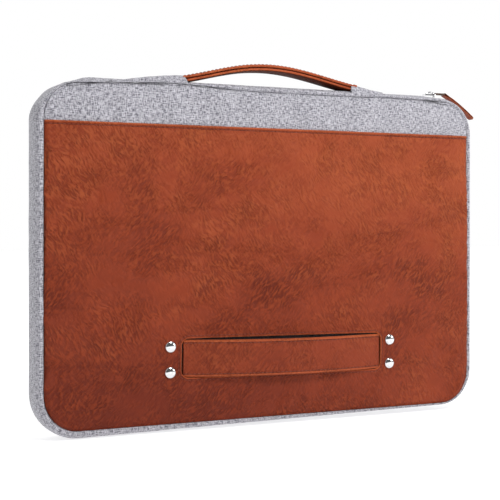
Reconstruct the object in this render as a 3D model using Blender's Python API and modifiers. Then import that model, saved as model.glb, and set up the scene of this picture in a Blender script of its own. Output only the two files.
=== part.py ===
"""Laptop sleeve: a padded canvas case with a leather front panel, a top zip, a carrying
handle and a hand strap.

Metres, +X to the right, +Y to the back, +Z up. The origin is the middle of the flat base.
Each fabric, foam and leather piece is a plain solid of the right size and place.
"""

import math

import bmesh
import bpy
from mathutils import Matrix, Vector

MM = 0.001

# Overall case
CASE_WIDTH = 400 * MM
CASE_HEIGHT = 281 * MM
CASE_DEPTH = 30 * MM
GUSSET_BULGE = 6.5 * MM
PANEL_RADIUS = 28 * MM
ARC_STEPS = 8
GAP = 0.3 * MM

# Panel layers, front to back
LEATHER_THICK = 1.0 * MM
CANVAS_THICK = 0.8 * MM
FOAM_THICK = 3.5 * MM
LINING_THICK = 0.6 * MM
LEATHER_TOP = 244.6 * MM
INNER_INSET = 2.5 * MM

# Gusset: half widths of its flat and of its shoulders, and how far each stands out
GUSSET_FLAT = 10 * MM
GUSSET_EDGE = 14.4 * MM
GUSSET_THICK = 0.9 * MM

# Zip and mouth
MOUTH_HALF = 176 * MM
ZIP_Y = 9.2 * MM
TAPE_THICK = 0.6 * MM
TOOTH_PITCH = 4 * MM
TOOTH_GAP = 1.2 * MM
STRIP_REAR = 4.8 * MM
SLIDER_X = 168.8 * MM
SLIDER_LENGTH = 12 * MM
SLIDER_WIDTH = 7.8 * MM
SLIDER_LOWER_INSET = 0.8 * MM

# Zip pull
LINK_PIVOT = Vector((173.6 * MM, ZIP_Y, 284.0 * MM))
PULL_PIVOT = Vector((183.6 * MM, ZIP_Y, 284.0 * MM))
PULL_LENGTH = 38.0 * MM
PULL_WIDTH = 9.0 * MM
PULL_SLOPE = math.radians(35)

# Carrying handle
HANDLE_Y = -4.25 * MM
HANDLE_WIDTH = 17.5 * MM
HANDLE_HALF = 76 * MM
HANDLE_ARCH_HALF = 50 * MM
HANDLE_PEAK_X = -3 * MM
HANDLE_FOOT = 278.8 * MM
HANDLE_RISE = 14.5 * MM
HANDLE_LAYERS = (1.2 * MM, 2.2 * MM, 1.2 * MM)
CASING_LENGTH = 62 * MM
CASING_HEIGHT = 5.0 * MM

# Hand strap and its window in the leather
STRAP_X = 9.1 * MM
STRAP_Z = 57.6 * MM
STRAP_LEAN = math.radians(0.75)
WINDOW_LENGTH = 184 * MM
WINDOW_HEIGHT = 31 * MM
WINDOW_RADIUS = 6 * MM
STRAP_WIDTH = 27.5 * MM
STRAP_DROP = 0.9 * MM
STRAP_END_GAP = 3.6 * MM
STRAP_BOW = 7.0 * MM
STRAP_FRONT_THICK = 1.2 * MM
STRAP_BACK_THICK = 1.0 * MM
STRAP_END_LENGTH = 18 * MM
RIVET_REACH = 9.4 * MM
RIVET_SPACING = 20.4 * MM
RIVET_CAP_RADIUS = 4.7 * MM
RIVET_CAP_HEIGHT = 2.4 * MM
RIVET_POST_RADIUS = 1.5 * MM
RIVET_BACK_RADIUS = 3.5 * MM
RIVET_BACK_THICK = 0.8 * MM

# Worked out from the dimensions above
HALF_DEPTH = CASE_DEPTH / 2
PANEL_HALF = CASE_WIDTH / 2 - GUSSET_BULGE
PANEL_LOW = GUSSET_BULGE
PANEL_HIGH = CASE_HEIGHT - GUSSET_BULGE
PANEL_MIDDLE = (PANEL_LOW + PANEL_HIGH) / 2
LEATHER_Y = -HALF_DEPTH
FRONT_CANVAS_Y = LEATHER_Y + LEATHER_THICK + GAP
FRONT_FOAM_Y = FRONT_CANVAS_Y + CANVAS_THICK + GAP
FRONT_LINING_Y = FRONT_FOAM_Y + FOAM_THICK + GAP
REAR_CANVAS_Y = HALF_DEPTH - CANVAS_THICK
REAR_FOAM_Y = REAR_CANVAS_Y - GAP - FOAM_THICK
REAR_LINING_Y = REAR_FOAM_Y - GAP - LINING_THICK
STRAP_BACK_Y = FRONT_CANVAS_Y - GAP

COLOURS = {
    "canvas": ((0.47, 0.46, 0.50), 0.9, 0.0),
    "leather": ((0.30, 0.075, 0.03), 0.5, 0.0),
    "foam": ((0.10, 0.10, 0.11), 0.95, 0.0),
    "lining": ((0.07, 0.07, 0.08), 0.9, 0.0),
    "zip": ((0.30, 0.30, 0.32), 0.6, 0.0),
    "webbing": ((0.12, 0.10, 0.09), 0.9, 0.0),
    "chrome": ((0.80, 0.80, 0.80), 0.1, 1.0),
}


# Scene and materials


def clear_scene():
    for obj in list(bpy.data.objects):
        bpy.data.objects.remove(obj, do_unlink=True)


def new_collection(name):
    collection = bpy.data.collections.new(name)
    bpy.context.scene.collection.children.link(collection)
    return collection


def material(name):
    found = bpy.data.materials.get(name)
    if found:
        return found
    colour, roughness, metallic = COLOURS[name]
    made = bpy.data.materials.new(name)
    made.use_nodes = True
    shader = made.node_tree.nodes["Principled BSDF"]
    shader.inputs["Base Color"].default_value = (*colour, 1)
    shader.inputs["Roughness"].default_value = roughness
    shader.inputs["Metallic"].default_value = metallic
    return made


def add_object(name, data, collection, look=None):
    obj = bpy.data.objects.new(name, data)
    collection.objects.link(obj)
    if look:
        data.materials.append(material(look))
    return obj


# Outlines


def arc(centre, radius, start, end, steps=ARC_STEPS):
    """Points on a circle arc, angles in degrees."""
    angles = [math.radians(start + (end - start) * i / steps) for i in range(steps + 1)]
    return [(centre[0] + radius * math.cos(a), centre[1] + radius * math.sin(a)) for a in angles]


def rounded_outline(half_x, low, high, radius, square_top=False):
    """Closed outline of a rounded rectangle, anticlockwise from the lower right corner."""
    left, right = -half_x + radius, half_x - radius
    points = arc((right, low + radius), radius, -90, 0)
    if square_top:
        points += [(half_x, high), (-half_x, high)]
    else:
        points += arc((right, high - radius), radius, 0, 90)
        points += arc((left, high - radius), radius, 90, 180)
    points += arc((left, low + radius), radius, 180, 270)
    return points


def panel_outline(inset, top=None):
    """The case's outline seen from the front, drawn in by inset, or cut level at top."""
    high = top if top else PANEL_HIGH - inset
    radius = PANEL_RADIUS - inset
    return rounded_outline(PANEL_HALF - inset, PANEL_LOW + inset, high, radius, bool(top))


# Solids


def outline_curve(name, points, thickness, collection, look=None):
    """A flat closed outline as a filled 2D curve, thickness deep and centred on its plane."""
    curve = bpy.data.curves.new(name, "CURVE")
    curve.dimensions = "2D"
    curve.fill_mode = "BOTH"
    curve.extrude = thickness / 2
    spline = curve.splines.new("POLY")
    spline.points.add(len(points) - 1)
    for spot, (x, y) in zip(spline.points, points):
        spot.co = (x, y, 0, 1)
    spline.use_cyclic_u = True
    return add_object(name, curve, collection, look)


def as_mesh(obj):
    """Turns a curve object into a mesh object of the same name, with its caps welded on."""
    bpy.context.view_layer.update()
    graph = bpy.context.evaluated_depsgraph_get()
    mesh = bpy.data.meshes.new_from_object(obj.evaluated_get(graph))
    shape = bmesh.new()
    shape.from_mesh(mesh)
    bmesh.ops.remove_doubles(shape, verts=shape.verts, dist=1e-6)
    bmesh.ops.recalc_face_normals(shape, faces=shape.faces)
    shape.to_mesh(mesh)
    shape.free()
    name = obj.name
    place = obj.matrix_world.copy()
    collection = obj.users_collection[0]
    bpy.data.objects.remove(obj, do_unlink=True)
    solid = bpy.data.objects.new(name, mesh)
    collection.objects.link(solid)
    solid.matrix_world = place
    return solid


def front_slab(name, points, front_y, thickness, collection, look=None):
    """A slab whose outline is in X and Z, from front_y back by thickness."""
    slab = outline_curve(name, points, thickness, collection, look)
    slab.rotation_euler.x = math.radians(90)
    slab.location.y = front_y + thickness / 2
    return as_mesh(slab)


def level_slab(name, points, middle_z, thickness, collection, look=None):
    """A slab whose outline is in X and Y, centred on the height middle_z."""
    slab = outline_curve(name, points, thickness, collection, look)
    slab.location.z = middle_z
    return as_mesh(slab)


def box(name, low, high, collection, look=None):
    shape = bmesh.new()
    bmesh.ops.create_cube(shape, size=1)
    size = [b - a for a, b in zip(low, high)]
    centre = [(a + b) / 2 for a, b in zip(low, high)]
    bmesh.ops.scale(shape, vec=size, verts=shape.verts)
    bmesh.ops.translate(shape, vec=centre, verts=shape.verts)
    mesh = bpy.data.meshes.new(name)
    shape.to_mesh(mesh)
    shape.free()
    return add_object(name, mesh, collection, look)


def rod(name, radius, y_front, y_back, x, z, collection, segments=16, look=None):
    """A round bar along Y."""
    shape = bmesh.new()
    turn = Matrix.Translation((x, (y_front + y_back) / 2, z)) @ Matrix.Rotation(math.pi / 2, 4, "X")
    bmesh.ops.create_cone(
        shape, cap_ends=True, segments=segments, radius1=radius, radius2=radius,
        depth=y_back - y_front, matrix=turn,
    )
    mesh = bpy.data.meshes.new(name)
    shape.to_mesh(mesh)
    shape.free()
    return add_object(name, mesh, collection, look)


def hide_cutter(cutter):
    cutter.hide_render = True
    cutter.display_type = "WIRE"
    return cutter


def boolean(obj, other, operation="DIFFERENCE"):
    modifier = obj.modifiers.new(operation.lower(), "BOOLEAN")
    modifier.operation = operation
    modifier.solver = "EXACT"
    modifier.object = other


def lean_with_strap(obj):
    """Turns an object built upright about the strap's middle to the strap's slight lean."""
    bpy.context.view_layer.update()
    middle = Matrix.Translation((STRAP_X, 0, STRAP_Z))
    turn = middle @ Matrix.Rotation(STRAP_LEAN, 4, "Y") @ middle.inverted()
    obj.matrix_world = turn @ obj.matrix_world
    return obj


# Front and rear panels


def make_panels(parts):
    edge = panel_outline(GAP)
    inner = panel_outline(INNER_INSET)
    leather = front_slab(
        "front_leather_panel", panel_outline(GAP, LEATHER_TOP), LEATHER_Y, LEATHER_THICK, parts, "leather"
    )
    canvas = front_slab("front_canvas_panel", edge, FRONT_CANVAS_Y, CANVAS_THICK, parts, "canvas")
    foam = front_slab("front_foam", inner, FRONT_FOAM_Y, FOAM_THICK, parts, "foam")
    front_slab("front_lining", inner, FRONT_LINING_Y, LINING_THICK, parts, "lining")
    front_slab("rear_canvas_panel", edge, REAR_CANVAS_Y, CANVAS_THICK, parts, "canvas")
    front_slab("rear_foam", inner, REAR_FOAM_Y, FOAM_THICK, parts, "foam")
    front_slab("rear_lining", inner, REAR_LINING_Y, LINING_THICK, parts, "lining")
    return leather, canvas, foam


# Gusset


def gusset_path(offset):
    """The contour from the mouth's left end down, along the base and up to its right end."""
    half = PANEL_HALF + offset
    low, high = PANEL_LOW - offset, PANEL_HIGH + offset
    radius = PANEL_RADIUS + offset
    left, right = -half + radius, half - radius
    across = min((MOUTH_HALF + GAP - right) / radius, 0.9)
    first = math.degrees(math.acos(across))
    points = arc((left, high - radius), radius, 180 - first, 180)
    points += arc((left, low + radius), radius, 180, 270)
    points += arc((right, low + radius), radius, 270, 360)
    points += arc((right, high - radius), radius, 0, first)
    return points


def swept_surface(name, rows, collection, look):
    """An open surface through rows of equal length, each a line of (x, y, z) points."""
    shape = bmesh.new()
    grid = [[shape.verts.new(point) for point in row] for row in rows]
    for row, following in zip(grid, grid[1:]):
        for i in range(len(row) - 1):
            shape.faces.new((row[i], following[i], following[i + 1], row[i + 1]))
    mesh = bpy.data.meshes.new(name)
    shape.to_mesh(mesh)
    shape.free()
    return add_object(name, mesh, collection, look)


def solidify(obj, thickness):
    """Thickens an open surface on the side that its normals point away from."""
    modifier = obj.modifiers.new("thickness", "SOLIDIFY")
    modifier.thickness = thickness
    modifier.offset = -1
    modifier.use_even_offset = True
    return obj


def shoulder(side):
    """Gusset profile from its sewn edge to its flat, as (y, offset from the contour)."""
    return [
        (side * GUSSET_EDGE, 0),
        (side * 13.9 * MM, 2.8 * MM),
        (side * 12.4 * MM, 5.2 * MM),
        (side * GUSSET_FLAT, GUSSET_BULGE),
    ]


def band_rows(profile):
    """Rows of points that carry a (y, offset) profile along the gusset's contour."""
    return [[(x, y, z) for x, z in gusset_path(offset)] for y, offset in profile]


def make_gusset(parts):
    profile = shoulder(-1) + shoulder(1)[::-1]
    canvas = swept_surface("gusset_canvas", band_rows(profile), parts, "canvas")
    solidify(canvas, GUSSET_THICK)
    foam_out = GUSSET_BULGE - GUSSET_THICK - GAP
    foam_half = 8.6 * MM
    foam_band = [(-foam_half, foam_out), (foam_half, foam_out)]
    foam = swept_surface("gusset_foam", band_rows(foam_band), parts, "foam")
    solidify(foam, foam_out + INNER_INSET - GAP)
    lining_out = -INNER_INSET
    lining_front = FRONT_LINING_Y + LINING_THICK + GAP
    lining_band = [(lining_front, lining_out), (REAR_LINING_Y - GAP, lining_out)]
    lining = swept_surface("gusset_lining", band_rows(lining_band), parts, "lining")
    solidify(lining, LINING_THICK)


# Top strips and zip


def along_mouth(profile, half):
    """Rows of points that carry a (y, offset) profile straight along the mouth."""
    return [[(x, y, PANEL_HIGH + offset) for x in (half, -half)] for y, offset in profile]


def make_top_strips(parts):
    front = shoulder(-1) + [(STRIP_REAR, GUSSET_BULGE)]
    canvas = swept_surface("top_strip_canvas", along_mouth(front, MOUTH_HALF), parts, "canvas")
    solidify(canvas, GUSSET_THICK)
    rear = shoulder(1)[2::-1]
    tail = swept_surface("rear_top_strip", along_mouth(rear, MOUTH_HALF), parts, "canvas")
    solidify(tail, GUSSET_THICK)
    length = MOUTH_HALF - 8 * MM
    low, high = -9.6 * MM, 2.2 * MM
    foam_top = CASE_HEIGHT - GUSSET_THICK - GAP
    foam_low = foam_top - 2.4 * MM
    box("top_strip_foam", (-length, low, foam_low), (length, high, foam_top), parts, "foam")
    lining_top = foam_low - GAP
    lining_low = lining_top - LINING_THICK
    box("top_strip_lining", (-length, low, lining_low), (length, high, lining_top), parts, "lining")


def tooth_outline(side, half):
    """A cord with square teeth towards the zip's middle line, seen from above."""
    tip = ZIP_Y + side * TOOTH_GAP / 2
    root = tip + side * 0.8 * MM
    back = root + side * 1.0 * MM
    points = [(half, back), (-half, back), (-half, root)]
    count = int(2 * half / TOOTH_PITCH) - 1
    first = -(count - 1) * TOOTH_PITCH / 2
    for i in range(count):
        x = first + i * TOOTH_PITCH
        low, high = x - TOOTH_PITCH / 4, x + TOOTH_PITCH / 4
        points += [(low, root), (low, tip), (high, tip), (high, root)]
    points.append((half, root))
    return points


def make_zip(parts):
    tape_top = CASE_HEIGHT - GUSSET_THICK - GAP
    tape_low = tape_top - TAPE_THICK
    row_half = SLIDER_X - SLIDER_LENGTH / 2 - 4 * MM
    teeth_height = 1.3 * MM
    teeth_z = tape_top + GAP + teeth_height / 2
    tape_edge = ZIP_Y - TOOTH_GAP / 2 - 0.4 * MM
    box("zip_tape_front", (-MOUTH_HALF, 2.5 * MM, tape_low), (MOUTH_HALF, tape_edge, tape_top), parts, "zip")
    rear_edge = ZIP_Y + TOOTH_GAP / 2 + 0.4 * MM
    box("zip_tape_rear", (-MOUTH_HALF, rear_edge, tape_low), (MOUTH_HALF, 11.1 * MM, tape_top), parts, "zip")
    for name, side in (("zip_teeth_front", -1), ("zip_teeth_rear", 1)):
        level_slab(name, tooth_outline(side, row_half), teeth_z, teeth_height, parts, "zip")


def slider_outline(half_x, half_y):
    """A slider wing from above: blunt at the shoulders, a little narrower at the tail."""
    corner = 2.4 * MM
    return [
        (SLIDER_X + half_x, ZIP_Y + half_y - corner),
        (SLIDER_X + half_x - corner, ZIP_Y + half_y),
        (SLIDER_X - half_x, ZIP_Y + half_y - corner / 2),
        (SLIDER_X - half_x, ZIP_Y - half_y + corner / 2),
        (SLIDER_X + half_x - corner, ZIP_Y - half_y),
        (SLIDER_X + half_x, ZIP_Y - half_y + corner),
    ]


def make_slider(parts):
    """Two wings joined by a thin post that runs between the rows of teeth."""
    half_x, half_y = SLIDER_LENGTH / 2, SLIDER_WIDTH / 2
    top_low = CASE_HEIGHT + 1.1 * MM
    low_top = CASE_HEIGHT - 3.0 * MM
    upper = slider_outline(half_x, half_y)
    lower = slider_outline(half_x, half_y - SLIDER_LOWER_INSET)
    body = level_slab("zip_slider", upper, top_low + 0.6 * MM, 1.2 * MM, parts, "chrome")
    wing = level_slab("slider_lower_wing", lower, low_top - 0.5 * MM, 1.0 * MM, cutters())
    post = box(
        "slider_post",
        (SLIDER_X + half_x - 3.5 * MM, ZIP_Y - 0.3 * MM, low_top - 0.5 * MM),
        (SLIDER_X + half_x - 1.2 * MM, ZIP_Y + 0.3 * MM, top_low + 0.5 * MM),
        cutters(),
    )
    boolean(body, hide_cutter(post), "UNION")
    boolean(body, hide_cutter(wing), "UNION")
    bail_top = LINK_PIVOT.z + 1.3 * MM
    bail = box(
        "slider_bail",
        (LINK_PIVOT.x - 9.0 * MM, ZIP_Y - 1.2 * MM, top_low + 1.2 * MM + GAP),
        (LINK_PIVOT.x + 1.2 * MM, ZIP_Y + 1.2 * MM, bail_top),
        parts, "chrome",
    )
    eye = rod("bail_eye", 0.8 * MM, ZIP_Y - 3 * MM, ZIP_Y + 3 * MM, LINK_PIVOT.x, LINK_PIVOT.z, cutters())
    boolean(bail, hide_cutter(eye))


def make_pull(parts):
    """A wire link through the bail, and a two-layer leather tab folded through the link."""
    link = bpy.data.curves.new("pull_link", "CURVE")
    link.dimensions = "3D"
    link.bevel_depth = 0.5 * MM
    link.bevel_resolution = 2
    spline = link.splines.new("POLY")
    half = 1.7 * MM
    length = PULL_PIVOT.x - LINK_PIVOT.x
    corner = 0.7 * MM
    loop = arc((length - corner, half - corner), corner, 0, 90, 3)
    loop += arc((corner, half - corner), corner, 90, 180, 3)
    loop += arc((corner, -half + corner), corner, 180, 270, 3)
    loop += arc((length - corner, -half + corner), corner, 270, 360, 3)
    spline.points.add(len(loop) - 1)
    for spot, (x, y) in zip(spline.points, loop):
        spot.co = (x, y, 0, 1)
    spline.use_cyclic_u = True
    wire = add_object("pull_link", link, parts, "chrome")
    wire.location = LINK_PIVOT
    pivot = bpy.data.objects.new("pull_pivot", None)
    parts.objects.link(pivot)
    pivot.location = PULL_PIVOT
    pivot.rotation_euler.y = PULL_SLOPE
    half_width = PULL_WIDTH / 2
    for name, low in (("pull_leather_outer", 0.15 * MM), ("pull_leather_inner", -1.35 * MM)):
        layer = box(
            name,
            (1.0 * MM, -half_width, low),
            (PULL_LENGTH, half_width, low + 1.2 * MM),
            parts, "leather",
        )
        layer.parent = pivot


# Carrying handle


def handle_height(x):
    """Height of the handle's underside: half way between a parabola and a raised cosine."""
    reach = HANDLE_HALF + abs(HANDLE_PEAK_X)
    share = min(abs(x - HANDLE_PEAK_X) / reach, 1)
    parabola = 1 - share * share
    cosine = (1 + math.cos(math.pi * share)) / 2
    return HANDLE_FOOT + 2.4 * MM + HANDLE_RISE * (0.6 * parabola + 0.4 * cosine) * 0.86


def handle_band(name, x_from, x_to, lift, thickness, parts, look, steps=16):
    """A layer of the handle between two places along it, lift above the underside."""
    xs = [x_from + (x_to - x_from) * i / steps for i in range(steps + 1)]
    points = [(x, handle_height(x) + lift) for x in xs]
    points += [(x, handle_height(x) + lift + thickness) for x in reversed(xs)]
    return front_slab(name, points, HANDLE_Y - HANDLE_WIDTH / 2, HANDLE_WIDTH, parts, look)


def make_handle(parts):
    bottom, core, top = HANDLE_LAYERS
    half = HANDLE_ARCH_HALF
    handle_band("handle_leather_bottom", -half, half, 0, bottom, parts, "leather")
    handle_band("handle_core", -half, half, bottom + GAP, core, parts, "webbing")
    handle_band("handle_leather_top", -half, half, bottom + core + 2 * GAP, top, parts, "leather")
    whole = bottom + core + top + 2 * GAP
    start = half + GAP
    for name, side in (("handle_end_left", -1), ("handle_end_right", 1)):
        low, high = sorted((side * start, side * HANDLE_HALF))
        handle_band(name, low, high, 0, whole, parts, "leather", 6)


def make_casings(parts):
    """Canvas sleeves that run down from the handle's ends to the top strip."""
    base = CASE_HEIGHT + GAP
    for name, side in (("handle_casing_left", -1), ("handle_casing_right", 1)):
        steps = 10
        points = []
        for i in range(steps + 1):
            share = i / steps
            x = side * (HANDLE_HALF + GAP + CASING_LENGTH * share)
            rise = (1 + math.cos(math.pi * share)) / 2
            points.append((x, base + 0.8 * MM + CASING_HEIGHT * rise))
        points += [(points[-1][0], base), (points[0][0], base)]
        front_slab(name, points, HANDLE_Y - HANDLE_WIDTH / 2, HANDLE_WIDTH, parts, "canvas")


# Hand strap


def strap_back(x):
    """Y of the strap's back face: flush at the ends of the window, bowed out between them."""
    share = 2 * (x - STRAP_X) / WINDOW_LENGTH
    return STRAP_BACK_Y - STRAP_BOW * max(0, 1 - share * share)


def strap_layer(name, setback, thickness, parts):
    steps = 20
    half = WINDOW_LENGTH / 2 - STRAP_END_GAP
    xs = [STRAP_X - half + 2 * half * i / steps for i in range(steps + 1)]
    points = [(x, strap_back(x) - setback) for x in xs]
    points += [(x, strap_back(x) - setback - thickness) for x in reversed(xs)]
    strap = level_slab(name, points, STRAP_Z - STRAP_DROP, STRAP_WIDTH, parts, "leather")
    return lean_with_strap(strap)


def rivet_places():
    for x_side in (-1, 1):
        for z_side in (1, -1):
            x = STRAP_X + x_side * (WINDOW_LENGTH / 2 + RIVET_REACH)
            yield x, STRAP_Z - STRAP_DROP + z_side * RIVET_SPACING / 2


def rivet_profile():
    """Half section of a domed cap and its post: (radius, distance in front of the leather)."""
    dome = [
        (RIVET_CAP_RADIUS * math.sin(a), RIVET_CAP_HEIGHT * math.cos(a) ** 0.9)
        for a in [math.pi / 2 * i / 6 for i in range(6)]
    ]
    depth = LEATHER_THICK + GAP + STRAP_FRONT_THICK + GAP
    return dome + [
        (RIVET_CAP_RADIUS, GAP),
        (RIVET_POST_RADIUS, GAP),
        (RIVET_POST_RADIUS, -depth),
        (0, -depth),
    ]


def make_rivet_cap(name, x, z, parts):
    profile = bpy.data.meshes.new(name)
    points = [(radius, 0, height) for radius, height in rivet_profile()]
    profile.from_pydata(points, [(i, i + 1) for i in range(len(points) - 1)], [])
    cap = add_object(name, profile, parts, "chrome")
    cap.rotation_euler.x = math.radians(90)
    cap.location = (x, LEATHER_Y, z)
    turn = cap.modifiers.new("turn", "SCREW")
    turn.steps = 20
    turn.render_steps = 20
    turn.axis = "Z"
    turn.use_merge_vertices = True
    turn.merge_threshold = 1e-6
    return cap


def make_strap(parts, leather, canvas, foam):
    strap_layer("hand_strap_back", 0, STRAP_BACK_THICK, parts)
    strap_layer("hand_strap_front", STRAP_BACK_THICK + GAP, STRAP_FRONT_THICK, parts)
    half_x, half_z = WINDOW_LENGTH / 2, WINDOW_HEIGHT / 2
    hole = [
        (STRAP_X + x, STRAP_Z + z)
        for x, z in rounded_outline(half_x, -half_z, half_z, WINDOW_RADIUS)
    ]
    window = front_slab("strap_window", hole, LEATHER_Y - 2 * MM, LEATHER_THICK + 2.2 * MM, cutters())
    boolean(leather, hide_cutter(lean_with_strap(window)))
    end_y = FRONT_CANVAS_Y
    for name, side in (("strap_end_left", -1), ("strap_end_right", 1)):
        inner = STRAP_X + side * (half_x + GAP)
        outer = inner + side * STRAP_END_LENGTH
        low, high = sorted((inner, outer))
        middle = STRAP_Z - STRAP_DROP
        z_low, z_high = middle - STRAP_WIDTH / 2, middle + STRAP_WIDTH / 2
        end = box(
            name, (low, end_y, z_low), (high, end_y + STRAP_FRONT_THICK, z_high), parts, "leather"
        )
        lean_with_strap(end)
        pocket = box(
            name + "_pocket",
            (low - GAP, end_y - 0.2 * MM, z_low - GAP),
            (high + GAP, end_y + STRAP_FRONT_THICK + 2 * GAP + RIVET_BACK_THICK + GAP, z_high + GAP),
            cutters(),
        )
        lean_with_strap(hide_cutter(pocket))
        boolean(canvas, pocket)
        boolean(foam, pocket)
        for i, (x, z) in enumerate(rivet_places()):
            if low < x < high:
                make_rivet(i + 1, x, z, parts, leather, end)


def make_rivet(number, x, z, parts, leather, end):
    lean_with_strap(make_rivet_cap(f"rivet_cap_{number}", x, z, parts))
    back_y = LEATHER_Y + LEATHER_THICK + 3 * GAP + STRAP_FRONT_THICK
    plate = rod(
        f"rivet_back_{number}", RIVET_BACK_RADIUS, back_y, back_y + RIVET_BACK_THICK, x, z, parts,
        look="chrome",
    )
    lean_with_strap(plate)
    hole = rod(
        f"rivet_hole_{number}", RIVET_POST_RADIUS + GAP, LEATHER_Y - 1 * MM, back_y - 0.1 * MM, x, z, cutters()
    )
    lean_with_strap(hide_cutter(hole))
    boolean(leather, hole)
    boolean(end, hole)


def cutters():
    return bpy.data.collections["cutters"]


def main():
    clear_scene()
    parts = new_collection("laptop_sleeve")
    new_collection("cutters")
    leather, canvas, foam = make_panels(parts)
    make_gusset(parts)
    make_top_strips(parts)
    make_zip(parts)
    make_slider(parts)
    make_pull(parts)
    make_handle(parts)
    make_casings(parts)
    make_strap(parts, leather, canvas, foam)


main()
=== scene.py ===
"""Looks of the laptop sleeve: fabric, leather, stitching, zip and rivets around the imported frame."""

import math

import bmesh
import bpy
from mathutils import Matrix, Vector, noise


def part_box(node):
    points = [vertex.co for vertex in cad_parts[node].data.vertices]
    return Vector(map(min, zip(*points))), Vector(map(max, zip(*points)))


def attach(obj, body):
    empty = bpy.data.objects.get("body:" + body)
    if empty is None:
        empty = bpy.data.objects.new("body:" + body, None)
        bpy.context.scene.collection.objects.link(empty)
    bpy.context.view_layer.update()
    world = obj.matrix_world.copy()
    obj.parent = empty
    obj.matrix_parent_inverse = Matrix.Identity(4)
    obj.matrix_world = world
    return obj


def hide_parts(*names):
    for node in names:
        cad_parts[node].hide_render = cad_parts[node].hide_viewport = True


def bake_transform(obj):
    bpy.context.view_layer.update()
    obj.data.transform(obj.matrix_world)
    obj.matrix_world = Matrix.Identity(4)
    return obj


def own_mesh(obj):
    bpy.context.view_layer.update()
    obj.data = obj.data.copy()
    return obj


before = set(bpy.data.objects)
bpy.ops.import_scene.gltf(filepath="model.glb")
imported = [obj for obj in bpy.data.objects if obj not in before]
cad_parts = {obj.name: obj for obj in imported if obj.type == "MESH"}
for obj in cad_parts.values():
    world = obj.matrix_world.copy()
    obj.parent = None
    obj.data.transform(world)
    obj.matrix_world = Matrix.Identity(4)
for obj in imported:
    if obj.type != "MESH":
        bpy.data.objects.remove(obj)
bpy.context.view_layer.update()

MM = 0.001

# Sizes that follow the frame
CASE_LOW, CASE_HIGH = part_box("gusset_canvas")
STRIP_LOW, STRIP_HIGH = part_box("top_strip_canvas")
LEATHER_LOW, LEATHER_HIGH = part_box("front_leather_panel")
SLIDER_LOW, SLIDER_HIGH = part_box("zip_slider")
BULGE = 6.5 * MM
EDGE_Y = -STRIP_LOW.y
PANEL_HALF = CASE_HIGH.x - BULGE
PANEL_LOW = CASE_LOW.z + BULGE
PANEL_HIGH = STRIP_HIGH.z - BULGE
PANEL_RADIUS = 28 * MM
MOUTH_HALF = STRIP_HIGH.x
STRIP_REAR = STRIP_HIGH.y
LEATHER_TOP = LEATHER_HIGH.z
FACE_Y = LEATHER_LOW.y
BAND_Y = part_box("front_canvas_panel")[0].y
REAR_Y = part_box("rear_canvas_panel")[1].y
ZIP_Y = (SLIDER_LOW.y + SLIDER_HIGH.y) / 2
TAPE_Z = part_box("zip_tape_front")[1].z

# Fabric and leather detail
FRONT_CROWN = 1.6 * MM
REAR_CROWN = 2.0 * MM
TUCK = 2.2 * MM
TUCK_WIDTH = 4.5 * MM
STITCH_PITCH = 3.5 * MM
STITCH_LENGTH = 2.5 * MM
STITCH_RADIUS = 0.32 * MM
HEM_STITCH = 2.3 * MM
SEAM_VALLEY = 0.12
SEAM_INSET = 0.3 * MM
PANEL_SHAPE = (
    PANEL_HALF - SEAM_INSET, PANEL_LOW + SEAM_INSET, PANEL_HIGH - SEAM_INSET, PANEL_RADIUS - SEAM_INSET,
)
HEM_TOP = LEATHER_TOP - 0.25 * MM

# Hand strap and window
STRAP_X = 9.1 * MM
STRAP_Z = 57.6 * MM
STRAP_LEAN = math.radians(0.75)
WINDOW_HALF_X = 92 * MM
WINDOW_HALF_Z = 15.5 * MM
WINDOW_RADIUS = 6 * MM
STRAP_HALF_Z = 14.9 * MM
STRAP_DROP = 0.2 * MM

# Handle
HANDLE_Y = -4.25 * MM
HANDLE_HALF_Y = 8.75 * MM
HANDLE_HALF = 76 * MM
HANDLE_PEAK_X = -3 * MM
HANDLE_THICK = 5.2 * MM


# Small helpers


def smooth(t):
    t = min(max(t, 0), 1)
    return t * t * (3 - 2 * t)


def mix(a, b, t):
    return a + (b - a) * t


def new_object(name, mesh, look):
    obj = bpy.data.objects.new(name, mesh)
    bpy.context.scene.collection.objects.link(obj)
    mesh.materials.append(look)
    return obj


def lattice(us, vs, point):
    """Rows of points: one row for each v, with a point for each u along it."""
    us = list(us)
    return [[point(u, v) for u in us] for v in vs]


def steps(low, high, count):
    """Evenly spaced values from low to high, count intervals apart."""
    return [mix(low, high, i / count) for i in range(count + 1)]


def set_uv(mesh, table):
    """Writes a UV map in metres along the surface, from a (u, v) pair for each vertex."""
    layer = mesh.uv_layers.new(name="cloth")
    for loop in mesh.loops:
        layer.data[loop.index].uv = table[loop.vertex_index]


def grid(name, rows, look, thickness=0, closed_u=False, even=False, flip=False):
    """A surface through rows of points of equal length, with a UV map in metres."""
    count = len(rows[0])
    points = [point for row in rows for point in row]
    faces = []
    for j in range(len(rows) - 1):
        for i in range(count if closed_u else count - 1):
            a, b = j * count + i, j * count + (i + 1) % count
            face = (a, b, b + count, a + count)
            faces.append(face[::-1] if flip else face)
    mesh = bpy.data.meshes.new(name)
    mesh.from_pydata([tuple(p) for p in points], [], faces)
    set_uv(mesh, surface_lengths(rows, even))
    mesh.shade_smooth()
    obj = new_object(name, mesh, look)
    if thickness:
        solid = obj.modifiers.new("thickness", "SOLIDIFY")
        solid.thickness = thickness
        solid.offset = -1
        apply_modifiers(obj)
    return obj


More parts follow.
